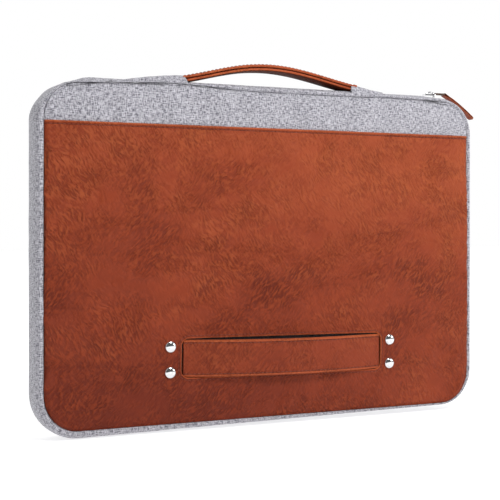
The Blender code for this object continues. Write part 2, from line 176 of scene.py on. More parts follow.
def surface_lengths(rows, even):
    """(u, v) of each grid point: lengths along its row (or the middle row) and along its column."""
    table = []
    middle = len(rows[0]) // 2
    along = 0
    for j, row in enumerate(rows):
        if j:
            along += (Vector(row[middle]) - Vector(rows[j - 1][middle])).length
        run = 0
        us = []
        measured = rows[len(rows) // 2] if even else row
        for i, point in enumerate(measured):
            if i:
                run += (Vector(point) - Vector(measured[i - 1])).length
            us.append(run)
        shift = us[middle]
        table += [(u - shift, along) for u in us]
    return table


def paint(obj, look, test):
    """Gives another material to the faces whose number and centre pass a test: here a lighter or darker
    copy of the leather, as painted highlight or painted shade.
    """
    obj.data.materials.append(look)
    for face in obj.data.polygons:
        if test(face.index, face.center):
            face.material_index = len(obj.data.materials) - 1


def evaluated_mesh(obj):
    bpy.context.view_layer.update()
    graph = bpy.context.evaluated_depsgraph_get()
    return bpy.data.meshes.new_from_object(obj.evaluated_get(graph))


def apply_modifiers(obj):
    mesh = evaluated_mesh(obj)
    obj.modifiers.clear()
    obj.data = mesh


def from_bmesh(name, shape, look, smooth_angle=40):
    bmesh.ops.recalc_face_normals(shape, faces=shape.faces)
    mesh = bpy.data.meshes.new(name)
    shape.to_mesh(mesh)
    shape.free()
    mesh.shade_smooth()
    mesh.set_sharp_from_angle(angle=math.radians(smooth_angle))
    return new_object(name, mesh, look)


def tube(name, path, radius, look, closed=True):
    """A round wire along a list of points, as a mesh."""
    curve = bpy.data.curves.new(name, "CURVE")
    curve.dimensions = "3D"
    curve.bevel_depth = radius
    curve.bevel_resolution = 3
    curve.use_fill_caps = True
    spline = curve.splines.new("POLY")
    spline.points.add(len(path) - 1)
    for spot, point in zip(spline.points, path):
        spot.co = (*point, 1)
    spline.use_cyclic_u = closed
    obj = bpy.data.objects.new(name, curve)
    bpy.context.scene.collection.objects.link(obj)
    mesh = evaluated_mesh(obj)
    bpy.data.objects.remove(obj)
    mesh.materials.clear()
    mesh.shade_smooth()
    return new_object(name, mesh, look)


def lean(x, z):
    """A point beside the hand strap's middle, turned by the strap's slight lean."""
    c, s = math.cos(STRAP_LEAN), math.sin(STRAP_LEAN)
    return STRAP_X + x * c + z * s, STRAP_Z - x * s + z * c


# Materials


def start_material(name):
    made = bpy.data.materials.new(name)
    made.use_nodes = True
    tree = made.node_tree
    return made, tree, tree.nodes["Principled BSDF"]


def feed(tree, node, inputs):
    """Links or sets a node's inputs, by name or number."""
    for key, value in inputs.items():
        if isinstance(value, bpy.types.NodeSocket):
            tree.links.new(value, node.inputs[key])
        else:
            node.inputs[key].default_value = value
    return node


def new_node(tree, kind, inputs):
    return feed(tree, tree.nodes.new("ShaderNode" + kind), inputs)


def scaled(tree, source, scale):
    """Coordinates scaled by axis, for stretched noise."""
    return new_node(tree, "Mapping", {"Scale": scale, "Vector": source}).outputs["Vector"]


def noise_value(tree, source, scale, detail, roughness):
    inputs = {"Vector": scaled(tree, source, scale), "Scale": 1, "Detail": detail, "Roughness": roughness}
    return new_node(tree, "TexNoise", inputs).outputs["Fac"]


def math_node(tree, operation, a, b=0, clamp=False):
    made = new_node(tree, "Math", {0: a, 1: b})
    made.operation = operation
    made.use_clamp = clamp
    return made.outputs[0]


def plus(tree, a, b, clamp=False):
    return math_node(tree, "ADD", a, b, clamp)


def times(tree, a, b, clamp=False):
    return math_node(tree, "MULTIPLY", a, b, clamp)


def contrast(tree, value, low, gain, clamp=True):
    """How far a value stands above low, times gain."""
    return times(tree, math_node(tree, "SUBTRACT", value, low), gain, clamp)


def object_place(tree):
    return tree.nodes.new("ShaderNodeTexCoord").outputs["Object"]


def separated(tree, vector):
    return new_node(tree, "SeparateXYZ", {0: vector}).outputs


def ramp(tree, factor, stops):
    made = new_node(tree, "ValToRGB", {"Fac": factor})
    elements = made.color_ramp.elements
    while len(elements) < len(stops):
        elements.new(0.5)
    for element, (place, colour) in zip(elements, stops):
        element.position = place
        element.color = (*colour, 1)
    return made.outputs["Color"]


def darkened(tree, amount, colour, factor):
    """A colour multiplied by a factor, to a given amount."""
    made = tree.nodes.new("ShaderNodeMix")
    made.data_type = "RGBA"
    made.blend_type = "MULTIPLY"
    return feed(tree, made, {0: amount, 6: colour, 7: factor}).outputs[2]


def bump(tree, height, distance, strength=1, normal=None):
    inputs = {"Height": height, "Distance": distance, "Strength": strength}
    if normal:
        inputs["Normal"] = normal
    return new_node(tree, "Bump", inputs).outputs["Normal"]


def canvas_material(name, light, dark, pitch=0.62 * MM):
    """Slubby plain weave: thread ridges both ways, with uneven light and dark yarns."""
    made, tree, shader = start_material(name)
    cloth = tree.nodes.new("ShaderNodeUVMap")
    cloth.uv_map = "cloth"
    uv = cloth.outputs["UV"]
    across = noise_value(tree, uv, (280, 1350, 1), 1, 0.5)
    down = noise_value(tree, uv, (1350, 280, 1), 1, 0.5)
    speck = noise_value(tree, uv, (1100, 1100, 1), 1, 0.7)
    broad = noise_value(tree, uv, (60, 60, 1), 2, 0.5)
    streaks = plus(tree, across, down)
    total = plus(tree, times(tree, speck, 0.3), streaks)
    total = plus(tree, times(tree, broad, 0.1), total)
    tone = plus(tree, contrast(tree, total, 1.22, 2.1, clamp=False), 0.5, clamp=True)
    middle = tuple(mix(a, b, 0.55) for a, b in zip(dark, light))
    colour = ramp(tree, tone, [(0.0, dark), (0.45, middle), (1.0, light)])
    u, v, _ = separated(tree, uv)
    turns = 2 * math.pi / pitch
    warp = math_node(tree, "SINE", times(tree, u, turns))
    weft = math_node(tree, "SINE", times(tree, v, turns))
    weave = times(tree, times(tree, warp, weft), 0.35)
    height = plus(tree, weave, times(tree, streaks, 1.2))
    feed(tree, shader, {
        "Base Color": colour, "Normal": bump(tree, height, 0.22 * MM, 0.9), "Roughness": 0.88,
        "Sheen Weight": 0.25, "Sheen Roughness": 0.5,
    })
    return made


def stirred(tree, place):
    """Coordinates pushed about by broad noise, so that creases don't run straight."""
    swirl = new_node(tree, "TexNoise", {"Vector": place, "Scale": 30, "Detail": 2})
    bend = tree.nodes.new("ShaderNodeVectorMath")
    bend.operation = "MULTIPLY_ADD"
    inputs = {0: swirl.outputs["Color"], 1: (0.012, 0.012, 0.012), 2: place}
    return feed(tree, bend, inputs).outputs[0]


def crease_field(tree, vector, degrees):
    """Sharp-edged noise drawn out along one direction, and the turned coordinates it uses."""
    turned = tree.nodes.new("ShaderNodeVectorRotate")
    turned.rotation_type = "Y_AXIS"
    feed(tree, turned, {"Vector": vector, "Angle": math.radians(degrees)})
    drawn = noise_value(tree, turned.outputs[0], (640, 640, 210), 1, 0.5)
    return contrast(tree, drawn, 0.39, 4.5), turned.outputs[0]


def pebbles(tree, vector):
    """Small flat cells with grooves between them."""
    cells = new_node(tree, "TexVoronoi", {"Vector": scaled(tree, vector, (430, 430, 280))})
    cells.feature = "DISTANCE_TO_EDGE"
    return times(tree, cells.outputs["Distance"], 2.2, clamp=True)


def leather_material(name, light, middle, dark, paint_light_slope=True, gloss=0.22):
    """Mottled synthetic leather with creases that run in patches, and fine pores between them."""
    made, tree, shader = start_material(name)
    place = object_place(tree)
    mottle = noise_value(tree, place, (11, 11, 13), 3, 0.6)
    cloud = noise_value(tree, place, (34, 34, 46), 4, 0.65)
    bent = stirred(tree, place)
    falling, turned = crease_field(tree, bent, 32)
    rising, _ = crease_field(tree, bent, -38)
    pebble = pebbles(tree, turned)
    patches = contrast(tree, cloud, 0.30, 3.0)
    change = times(tree, math_node(tree, "SUBTRACT", falling, rising), contrast(tree, mottle, 0.4, 5))
    folds = contrast(tree, plus(tree, rising, change), 0.5, patches, clamp=False)
    pores = noise_value(tree, place, (1100, 1100, 1300), 2, 0.6)
    tone = plus(tree, times(tree, mottle, 0.7), times(tree, cloud, 0.3))
    # Painted shade and highlight: the crease height also tints the colour, darker in the hollows and
    # lighter on the crests.
    tone = plus(tree, tone, times(tree, folds, 0.42))
    # Painted light: with this set, the tone grows lighter towards the top and the right and darker towards
    # the bottom and left.
    if paint_light_slope:
        x, _, z = separated(tree, place)
        painted_light_slope = plus(tree, times(tree, z, 1.3), times(tree, x, 0.4))
        tone = plus(tree, tone, plus(tree, painted_light_slope, -0.18))
    colour = ramp(tree, tone, [(0.2, dark), (0.5, middle), (0.82, light)])
    # Painted shade: the colour is darkened in the grooves between the pebbles.
    pebble_groove_shade = plus(tree, times(tree, pebble, 0.15), 0.87)
    rough = plus(tree, times(tree, mottle, -0.3), 0.62)
    small = plus(tree, times(tree, pebble, patches), times(tree, pores, 0.4))
    first = bump(tree, folds, 1.0 * MM, 1.0)
    feed(tree, shader, {
        "Base Color": darkened(tree, 0.75, colour, pebble_groove_shade),
        "Roughness": plus(tree, rough, times(tree, pores, 0.10)),
        "Normal": bump(tree, small, 0.4 * MM, 0.8, first), "Specular IOR Level": gloss,
    })
    return made


def plain_material(name, colour, roughness, metallic=0.0, grain=0.02, scale=300):
    """A finish with slight unevenness in tone, roughness and surface."""
    made, tree, shader = start_material(name)
    spots = noise_value(tree, object_place(tree), (scale, scale, scale), 3, 0.6)
    low = tuple(c * 0.85 for c in colour)
    high = tuple(min(c * 1.12, 1) for c in colour)
    feed(tree, shader, {
        "Base Color": ramp(tree, spots, [(0.3, low), (0.7, high)]), "Metallic": metallic,
        "Roughness": plus(tree, times(tree, spots, 0.08), roughness - 0.04),
        "Normal": bump(tree, spots, grain * MM, 0.5),
    })
    return made


CANVAS = canvas_material("canvas_heather", (0.60, 0.59, 0.64), (0.13, 0.125, 0.155))
LINING = canvas_material("lining_weave", (0.09, 0.09, 0.10), (0.035, 0.035, 0.04), 0.8 * MM)
TAPE = canvas_material("zip_tape_weave", (0.36, 0.36, 0.39), (0.16, 0.16, 0.18), 0.5 * MM)
LEATHER = leather_material(
    "leather_panel_brown", (0.41, 0.080, 0.021), (0.278, 0.0385, 0.0078), (0.165, 0.0185, 0.004)
)
STRAP_LEATHER = leather_material(
    "leather_strap_brown", (0.375, 0.070, 0.019), (0.275, 0.039, 0.0088), (0.178, 0.021, 0.005), False
)
# A dark copy of the leather, as painted shade: used under the handle, in its side grooves and between the
# pull tab's layers.
SHADE_LEATHER = leather_material(
    "leather_painted_shade", (0.14, 0.030, 0.012), (0.09, 0.018, 0.008), (0.05, 0.010, 0.005), False, 0.03
)
# A darker copy of the leather, as painted shade in the stitched grooves.
GROOVE_SHADE_LEATHER = leather_material(
    "leather_groove_painted_shade", (0.22, 0.045, 0.018), (0.15, 0.028, 0.012), (0.09, 0.016, 0.008), False
)
# A lighter copy of the leather, as a painted highlight along folded edges.
FOLD_HIGHLIGHT_LEATHER = leather_material(
    "leather_fold_painted_highlight", (0.58, 0.145, 0.046), (0.45, 0.09, 0.026), (0.33, 0.055, 0.014), False
)
THREAD = plain_material("brown_thread", (0.20, 0.036, 0.014), 0.6, grain=0.05, scale=2500)
CHROME = plain_material("chrome_polish", (0.74, 0.74, 0.75), 0.09, 1.0, 0.004, 500)
BRONZE = plain_material("dark_bronze", (0.10, 0.055, 0.035), 0.3, 0.8, 0.01, 500)
COIL = plain_material("zip_coil_nylon", (0.33, 0.33, 0.36), 0.45, grain=0.03, scale=1500)


# Padded cloth


def inflate(panel, cap, weight):
    """Lets a panel that is held round its edge swell as cloth, and keeps a share of it by place."""
    before = [vertex.co.copy() for vertex in panel.data.vertices]
    shape = bmesh.new()
    shape.from_mesh(panel.data)
    held = [vertex.index for vertex in shape.verts if vertex.is_boundary]
    shape.free()
    group = panel.vertex_groups.new(name="seam")
    group.add(held, 1, "REPLACE")
    cloth = panel.modifiers.new("cloth", "CLOTH")
    settings = cloth.settings
    settings.quality = 4
    settings.mass = 0.2
    settings.vertex_group_mass = "seam"
    settings.use_pressure = True
    settings.uniform_pressure_force = 0.5
    settings.shrink_min = -0.012
    settings.tension_stiffness = 25
    settings.compression_stiffness = 25
    settings.shear_stiffness = 8
    settings.bending_stiffness = 2
    settings.effector_weights.gravity = 0
    cloth.collision_settings.use_collision = False
    for number in range(1, 16):
        bpy.context.scene.frame_set(number)
    graph = bpy.context.evaluated_depsgraph_get()
    swollen = panel.evaluated_get(graph).to_mesh()
    moved = [vertex.co.copy() for vertex in swollen.vertices]
    panel.evaluated_get(graph).to_mesh_clear()
    panel.modifiers.clear()
    panel.vertex_groups.clear()
    bpy.context.scene.frame_set(1)
    for vertex, start, end in zip(panel.data.vertices, before, moved):
        step = end - start
        if step.length > cap:
            step *= cap / step.length
        vertex.co = start + step * weight(start.x, start.z)


# Panel shapes


def edge_distance(x, z):
    """Distance inside the panels' rounded edge."""
    half, low, high, radius = PANEL_SHAPE
    qx = abs(x) - (half - radius)
    qz = abs(z - (low + high) / 2) - ((high - low) / 2 - radius)
    outside = math.hypot(max(qx, 0), max(qz, 0))
    return radius - outside - min(max(qx, qz), 0)


EDGE_STEPS = [s * MM for s in (0, 0.25, 0.7, 1.3, 2.1, 3.2, 4.6, 6.5, 9, 12, 15.5, 20, 25)]


def spread(low, high, step, low_steps=EDGE_STEPS, high_steps=EDGE_STEPS):
    """Values from low to high, close together at both ends."""
    start = [low + s for s in low_steps]
    end = [high - s for s in reversed(high_steps)]
    count = max(int((end[0] - start[-1]) / step), 1)
    middle = [mix(start[-1], end[0], i / count) for i in range(1, count)]
    return start + middle + end


def columns(z, step, shape=PANEL_SHAPE):
    """x values across a rounded rectangle at a height, close together at both sides."""
    half, low, high, radius = shape
    width = half
    for corner in (low + radius - z, z - (high - radius)):
        if corner > 0:
            width = half - radius + math.sqrt(max(radius * radius - corner * corner, 0))
    inner = width - EDGE_STEPS[-1]
    count = int(2 * (PANEL_HALF - EDGE_STEPS[-1]) / step)
    middle = steps(-inner, inner, count)[1:-1]
    return [-width + s for s in EDGE_STEPS] + middle + [width - s for s in reversed(EDGE_STEPS)]


def tuck(distance):
    """How far a padded panel's face has dropped back at a distance inside its edge."""
    share = min(max(1 - distance / TUCK_WIDTH, 0), 1)
    return TUCK * (1 - math.sqrt(1 - share * share))


def crown(x, z, height):
    """The padded rise of a panel's face towards its middle."""
    _, low, high, _ = PANEL_SHAPE
    u = 1 - (x / PANEL_HALF) ** 2
    v = 1 - ((z - (low + high) / 2) / ((high - low) / 2)) ** 2
    return height * max(u, 0) ** 0.6 * max(v, 0) ** 0.6


def ripple(x, z, size, height, seed):
    return height * noise.noise(Vector((x / size, z / size, seed)))


def front_face(x, z):
    """Y of the leather panel's face."""
    gap = edge_distance(x, z)
    y = FACE_Y + tuck(gap) - crown(x, z, FRONT_CROWN)
    quiet = smooth(gap / (20 * MM))
    return y + quiet * (ripple(x, z, 60 * MM, 0.5 * MM, 1) + ripple(x, z, 22 * MM, 0.16 * MM, 5))


def hem_height(depth):
    """How far the leather's turned top edge stands out at a depth below its fold."""
    fold = 0.7 * MM * math.exp(-((depth - 0.8 * MM) / (0.8 * MM)) ** 2)
    groove = 0.5 * MM * math.exp(-((depth - HEM_STITCH) / (0.5 * MM)) ** 2)
    return fold - groove


def make_front_leather():
    hem_steps = [s * MM for s in (0.0, 0.2, 0.5, 0.9, 1.3, 1.8, 2.1, 2.5, 2.8, 3.4, 4.2, 5.5, 8)]
    rows = []
    for z in spread(PANEL_SHAPE[1], HEM_TOP, 2.5 * MM, EDGE_STEPS, hem_steps):
        rows.append([(x, front_face(x, z) - hem_height(HEM_TOP - z), z) for x in columns(z, 2.5 * MM)])
    last = rows[-1]
    for drop, back in ((-0.22, 0.25), (-0.25, 0.6), (-0.1, 1.0), (0.6, 1.15)):
        rows.append([(x, y + back * MM, z - drop * MM) for x, y, z in last])
    panel = grid("front_leather", rows, LEATHER)
    inflate(panel, 1.2 * MM, away_from_fittings)
    # Painted highlight along the turned top edge, and painted shade in the stitch groove below it.
    paint(panel, FOLD_HIGHLIGHT_LEATHER, lambda i, c: c.z > HEM_TOP - 1.1 * MM)
    paint(panel, GROOVE_SHADE_LEATHER, lambda i, c: abs(c.z - HEM_TOP + HEM_STITCH) < 0.35 * MM)
    cut_window(panel)
    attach(panel, "root")
    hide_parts("front_leather_panel", "front_foam")


def away_from_fittings(x, z):
    """0 at the hem, window and rivets, where the leather is held flat, rising to 1 away from them."""
    out_x = abs(x - STRAP_X) - WINDOW_HALF_X - 18 * MM
    out_z = abs(z - STRAP_Z) - WINDOW_HALF_Z - 6 * MM
    gap = math.hypot(max(out_x, 0), max(out_z, 0))
    return smooth(gap / (22 * MM)) * smooth((LEATHER_TOP - 5 * MM - z) / (15 * MM))


def cut_window(panel):
    """Removes the leather inside the strap window and fits its edge to the window's outline."""
    shape = bmesh.new()
    shape.from_mesh(panel.data)
    c, s = math.cos(STRAP_LEAN), math.sin(STRAP_LEAN)
    middle = Vector((STRAP_X, 0, STRAP_Z))
    limits = (
        (Vector((c, 0, -s)), WINDOW_HALF_X + 0.6 * MM), (Vector((s, 0, c)), WINDOW_HALF_Z + 0.6 * MM),
    )
    for axis, reach in limits:
        for side in (-1, 1):
            bmesh.ops.bisect_plane(
                shape, geom=shape.verts[:] + shape.edges[:] + shape.faces[:],
                plane_co=middle + side * axis * reach, plane_no=axis,
            )

    def inside(face):
        offset = face.calc_center_median() - middle
        return all(abs(offset.dot(axis)) < reach for axis, reach in limits)

    bmesh.ops.delete(shape, geom=[face for face in shape.faces if inside(face)], context="FACES")
    shape.to_mesh(panel.data)
    shape.free()


def window_outline(grow):
    """Points round the strap window, grown outwards by grow, as offsets from its middle."""
    radius = WINDOW_RADIUS + grow
    cx, cz = WINDOW_HALF_X + grow - radius, WINDOW_HALF_Z + grow - radius
    points = []
    for sx, sz, start in ((1, -1, -90), (1, 1, 0), (-1, 1, 90), (-1, -1, 180)):
        for angle in steps(start, start + 90, 8):
            turn = math.radians(angle)
            points.append((sx * cx + radius * math.cos(turn), sz * cz + radius * math.sin(turn)))
    return densify(points, 4 * MM)


def densify(points, step):
    """Adds points along the straight stretches of a closed outline."""
    result = []
    for a, b in zip(points, points[1:] + points[:1]):
        count = max(1, round(math.dist(a, b) / step))
        for i in range(count):
            result.append(tuple(mix(p, q, i / count) for p, q in zip(a, b)))
    return result


def rim_point(x, z, out, rise):
    """A point at a distance outside the window's outline point (x, z), standing out by rise."""
    qx = max(abs(x) - (WINDOW_HALF_X - WINDOW_RADIUS), 0)
    qz = max(abs(z) - (WINDOW_HALF_Z - WINDOW_RADIUS), 0)
    length = math.hypot(qx, qz) or 1
    nx, nz = math.copysign(qx / length, x), math.copysign(qz / length, z)
    px, pz = lean(x + nx * out * MM, z + nz * out * MM)
    return px, front_face(px, pz) - rise * MM, pz


def make_window_rim():
    """The leather's turned edge round the window, with a groove where it is stitched."""
    base = window_outline(0)
    profile = [(0.5, -1.6), (0.1, -1.2), (0, -0.5), (0.12, 0.2), (0.4, 0.62), (0.9, 0.8), (1.5, 0.55),
               (2.0, 0.12), (2.5, 0.1), (2.8, 0.26), (3.2, 0.2), (3.6, -0.12)]
    rows = lattice(base, profile, lambda spot, step: rim_point(*spot, *step))
    rim = grid("window_rim", rows, LEATHER, closed_u=True)
    # Painted highlight on the rim's turned edge, and painted shade in its stitch groove.
    paint(rim, FOLD_HIGHLIGHT_LEATHER, lambda i, c: i // len(base) in (1, 2, 3, 4))
    paint(rim, GROOVE_SHADE_LEATHER, lambda i, c: i // len(base) == 7)
    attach(rim, "root")


def make_canvas_band():
    """The canvas above the leather, with the seam valley along its sides and top."""
    high = PANEL_SHAPE[2]
    foot = LEATHER_TOP - 6 * MM

    def point(x, z):
        gap = edge_distance(x, z)
        y = BAND_Y - 0.5 * MM + tuck(gap) * 0.8 - crown(x, z, FRONT_CROWN) * 0.8
        y += smooth(gap / (12 * MM)) * ripple(x, z, 35 * MM, 0.35 * MM, 3)
        return x, y, z + seam_rise(x) * smooth(1 - (high - z) / (24 * MM))

    rows = []
    for z in spread(foot, high, 2.5 * MM, [0, 2 * MM], EDGE_STEPS):
        rows += lattice(columns(z, 2.5 * MM), [z], point)
    band = grid("front_canvas_band", rows, CANVAS)
    inflate(band, 0.9 * MM, lambda x, z: smooth((z - foot) / (12 * MM)))
    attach(band, "root")
    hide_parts("front_canvas_panel")


def make_window_shadow_sheet():
    """A dark lining-cloth sheet behind the hand strap: painted shadow standing in for the canvas that lies
    in the strap's shade there.
    """
    def point(x, z):
        px, pz = lean(x, z)
        return px, BAND_Y + 0.1 * MM, pz

    rows = lattice(steps(-98 * MM, 98 * MM, 40), steps(-20 * MM, 20 * MM, 8), point)
    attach(grid("window_shadow_sheet", rows, LINING), "root")


def make_rear_panel():
    def point(x, z):
        gap = edge_distance(x, z)
        soft = smooth(gap / (18 * MM)) * ripple(x, z, 50 * MM, 0.5 * MM, 8)
        return x, REAR_Y - tuck(gap) + crown(x, z, REAR_CROWN) + soft, z

    rows = []
    for z in spread(PANEL_SHAPE[1], PANEL_SHAPE[2], 3 * MM):
        rows += lattice(columns(z, 3 * MM), [z], point)
    panel = grid("rear_canvas", rows, CANVAS, flip=True)
    inflate(panel, 2 * MM, lambda x, z: 1)
    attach(panel, "root")
    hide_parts("rear_canvas_panel", "rear_foam")


def make_lining():
    """Front and rear lining sheets and the band round the compartment's edge."""
    for name, box_name, face, flip in (
        ("front_lining_cloth", "front_lining", 1, True), ("rear_lining_cloth", "rear_lining", 0, False),
    ):
        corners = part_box(box_name)
        inset = PANEL_HALF - corners[1].x
        low, high = corners[0].z, corners[1].z
        shape = (corners[1].x, low, high, PANEL_RADIUS - inset)

        def point(x, z):
            return x, corners[face].y + ripple(x, z, 40 * MM, 0.25 * MM, 12), z

        rows = []
        for z in spread(low, high, 6 * MM):
            rows += lattice(columns(z, 6 * MM, shape), [z], point)
        sheet = grid(name, rows, LINING, flip=flip)
        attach(sheet, "root")
        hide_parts(box_name)
    low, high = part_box("gusset_lining")
    rows = [ring_row(-2.5 * MM, y, lambda share: 1) for y in steps(low.y, high.y, 6)]
    band = grid("edge_lining_cloth", rows, LINING)
    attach(band, "root")
    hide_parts("gusset_lining")


# Gusset and top strips


def profile_point(angle):
    """(y, offset) on the gusset's rounded profile; angle runs from -90 to 90 degrees."""
    power = 2 / 3.0
    s, c = math.sin(angle), math.cos(angle)
    y = EDGE_Y * math.copysign(abs(s) ** power, s)
    offset = BULGE * max(c, 0) ** power
    return y * (1 - SEAM_VALLEY * math.exp(-offset / (0.8 * MM))), offset


ARC_STEPS = 12


def contour(offset):
    """Points of the case outline with the mouth's straight stretch left out, anticlockwise."""
    half = PANEL_HALF + offset
    low, high = PANEL_LOW - offset, PANEL_HIGH + offset
    radius = PANEL_RADIUS + offset
    cx = half - radius
    first = math.degrees(math.acos(min((MOUTH_HALF - cx) / radius, 1)))
    points = []
    stretches = (
        (-cx, high - radius, 180 - first, 180), (-cx, low + radius, 180, 270),
        (cx, low + radius, 270, 360), (cx, high - radius, 0, first),
    )
    for x, z, start, end in stretches:
        for angle in steps(start, end, ARC_STEPS):
            turn = math.radians(angle)
            points.append((x + radius * math.cos(turn), z + radius * math.sin(turn)))
    return points


def ring_row(offset, y, scale):
    """A row of contour points pushed out by offset times scale(share of the way round)."""
    inner, outer = contour(0), contour(offset)
    row = []
    for i, ((x0, z0), (x1, z1)) in enumerate(zip(inner, outer)):
        t = scale(i / (len(inner) - 1))
        row.append((mix(x0, x1, t), y, mix(z0, z1, t)))
    return refine(row)


def refine(row):
    """Adds points along the long straight stretches between the corner arcs."""
    counts = {ARC_STEPS: 48, 2 * ARC_STEPS + 1: 68, 3 * ARC_STEPS + 2: 48}
    result = []
    for i, (a, b) in enumerate(zip(row, row[1:])):
        count = counts.get(i, 1)
        for k in range(count):
            result.append(tuple(mix(p, q, k / count) for p, q in zip(a, b)))
    return result + [row[-1]]


# (contour point, share of the full bulge) from the mouth's left end round to its right end
GUSSET_FULLNESS = (
    (0, 0.24), (5, 0.5), (12, 1), (25, 1), (26, 0.35), (33, 0.55), (38, 0.85), (39, 0.9), (46, 0.8),
    (51, 0.6),
)


def gusset_scale(share):
    """How far the gusset stands out, from the mouth's left end down round to its right end."""
    place = share * GUSSET_FULLNESS[-1][0]
    for (a, low), (b, high) in zip(GUSSET_FULLNESS, GUSSET_FULLNESS[1:]):
        if place <= b:
            return mix(low, high, smooth((place - a) / (b - a)))
    return GUSSET_FULLNESS[-1][1]


def gusset_lump(x, y, z, offset):
    """A gusset point with the cloth's slight unevenness, which never goes below the floor."""
    lump = ripple(x + y, z - y, 24 * MM, 0.45 * MM, 20) * offset / BULGE
    sideways = math.copysign(lump, x) * (abs(x) > 170 * MM)
    return x + sideways, y, z + max(0, -lump) * (z < 3 * MM)


def make_gusset():
    rows = []
    for angle in steps(-90, 90, 22):
        y, offset = profile_point(math.radians(angle))
        row = ring_row(BULGE, y, lambda share, o=offset: o / BULGE * gusset_scale(share))
        rows.append([gusset_lump(*point, offset) for point in row])
    skin = grid("gusset_skin", rows, CANVAS, even=True, flip=True)
    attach(skin, "root")
    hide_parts("gusset_canvas", "gusset_foam")


def seam_rise(x):
    """How far the front top seam stands above the straight line along the panel's top."""
    left = 3.2 * MM * math.exp(-((x + 92 * MM) / (42 * MM)) ** 2)
    return left + 0.9 * MM * math.exp(-((x - 122 * MM) / (35 * MM)) ** 2)


def strip_height(x, y, offset):
    """The top strip sinks along its front and at both ends, while its zip edge stays level between them."""
    front = 1 - smooth((y + 6 * MM) / (11 * MM))
    share = min(offset / BULGE, 1)
    seam = seam_rise(x) * (1 - share) ** 2 * (y < 0) - corner_drop(x) * mix(1, 0.8, share)
    return PANEL_HIGH + seam + offset * (1 - front_sink(x) * max(front, strip_end(x)))


def corner_drop(x):
    """How far the panel's rounded corner has fallen below its straight top."""
    past = max(abs(x) - PANEL_HALF + PANEL_RADIUS, 0)
    return PANEL_RADIUS - math.sqrt(PANEL_RADIUS ** 2 - past ** 2)


def front_sink(x):
    left = 0.62 * smooth((-x - 100 * MM) / (60 * MM))
    return 0.14 + left + 0.26 * smooth((x - 95 * MM) / (60 * MM))


def strip_end(x):
    return smooth((abs(x) - 152 * MM) / (22 * MM))


def tape_height(x):
    return TAPE_Z - 0.05 * MM - BULGE * front_sink(x) * strip_end(x) - 0.8 * corner_drop(x)


def strip_rows(x_low, x_high, y_from, y_to, count=16):
    """Rows along X of the top strip's skin between two places on its profile."""
    xs = steps(x_low, x_high, round((x_high - x_low) / (3 * MM)))

    def point(x, place):
        y, offset = place
        return x, y, strip_height(x, y, offset) + ripple(x, y * 3, 30 * MM, 0.25 * MM, 30) * offset / BULGE

    return lattice(xs, [profile_point(a) for a in profile_angles(y_from, y_to, count)], point)


def profile_angles(y_from, y_to, count):
    def angle_at(y):
        return math.copysign(math.asin(min(abs(y) / EDGE_Y, 1) ** 1.5), y)
    return steps(angle_at(y_from), angle_at(y_to), count)


STRIP_PARTS = (
    ("left", -MOUTH_HALF, -141 * MM), ("middle", -141 * MM, 122 * MM), ("right", 122 * MM, MOUTH_HALF),
)


def ride_strip(obj, part):
    """The strip's middle rides with the lifted top strip; its ends stay fixed where they are sewn to the
    corners.
    """
    if part == "middle":
        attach(obj, "top_strip")
    else:
        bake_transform(obj)


def strip_lining_height(x):
    return PANEL_HIGH + 1.6 * MM - 4.5 * MM * smooth((abs(x) - 140 * MM) / (36 * MM))


def make_front_strip():
    for part, x_low, x_high in STRIP_PARTS:
        rows = strip_rows(x_low, x_high, -EDGE_Y, STRIP_REAR)
        turned = [[(x, y, z - d) for x, y, z in rows[-1]] for d in (0.5 * MM, 1.1 * MM)]
        inner = [[(x, y - 3 * MM, z - 1.2 * MM) for x, y, z in rows[-1]]]
        skin = grid(f"top_strip_skin_{part}", rows + turned + inner, CANVAS, flip=True)
        under = [[(x, y, strip_lining_height(x)) for x, y, z in row] for row in rows[2::3]]
        lining = grid(f"top_strip_lining_{part}", under, LINING)
        tape_rows = [
            [(x, y, tape_height(x)) for x, _, _ in rows[0]]
            for y in (STRIP_REAR - 2 * MM, STRIP_REAR, ZIP_Y - 1.6 * MM, ZIP_Y - 0.9 * MM)
        ]
        tape = grid(f"zip_tape_front_{part}", tape_rows, TAPE, thickness=0.5 * MM, flip=True)
        coil = coil_row(f"zip_coil_front_{part}", -1, max(x_low, -158 * MM), min(x_high, 160 * MM))
        for piece in (skin, lining, tape, coil):
            ride_strip(piece, part)
        if part == "middle":
            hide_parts("top_strip_canvas", "top_strip_foam")
            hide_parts("top_strip_lining")
            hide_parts("zip_tape_front")
            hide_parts("zip_teeth_front")


def make_hinge_cloth():
    """Lining that bends inside the front top seam, so the lifted mouth stays closed along its hinge."""
    path = [(-11.8, -7), (-11.8, -3), (-11.8, -0.5), (-11.7, 0.7), (-11.2, 1.3), (-10.2, 1.6), (-8.5, 1.6)]
    xs = steps(-150 * MM, 150 * MM, 100)
    rows = lattice(xs, path, lambda x, place: (x, place[0] * MM, PANEL_HIGH + place[1] * MM))
    cloth = grid("hinge_lining", rows, LINING)
    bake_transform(cloth)


def make_rear_strip():
    rows = strip_rows(-MOUTH_HALF, MOUTH_HALF, 12.4 * MM, EDGE_Y, 8)
    turned = [[(x, y - 0.3 * MM, z - 0.9 * MM) for x, y, z in rows[0]]]
    skin = grid("rear_strip_skin", turned + rows, CANVAS, flip=True)
    xs = [p[0] for p in rows[0]]
    tape_rows = [
        [(x, y, tape_height(x)) for x in xs] for y in (ZIP_Y + 0.9 * MM, ZIP_Y + 1.8 * MM, 12.2 * MM)
    ]
    tape = grid("zip_tape_back", tape_rows, TAPE, thickness=0.5 * MM, flip=True)
    coil = coil_row("zip_coil_back", 1, -158 * MM, 160 * MM)
    for piece, cad in ((skin, "rear_top_strip"), (tape, "zip_tape_rear"), (coil, "zip_teeth_rear")):
        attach(piece, "root")
        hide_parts(cad)


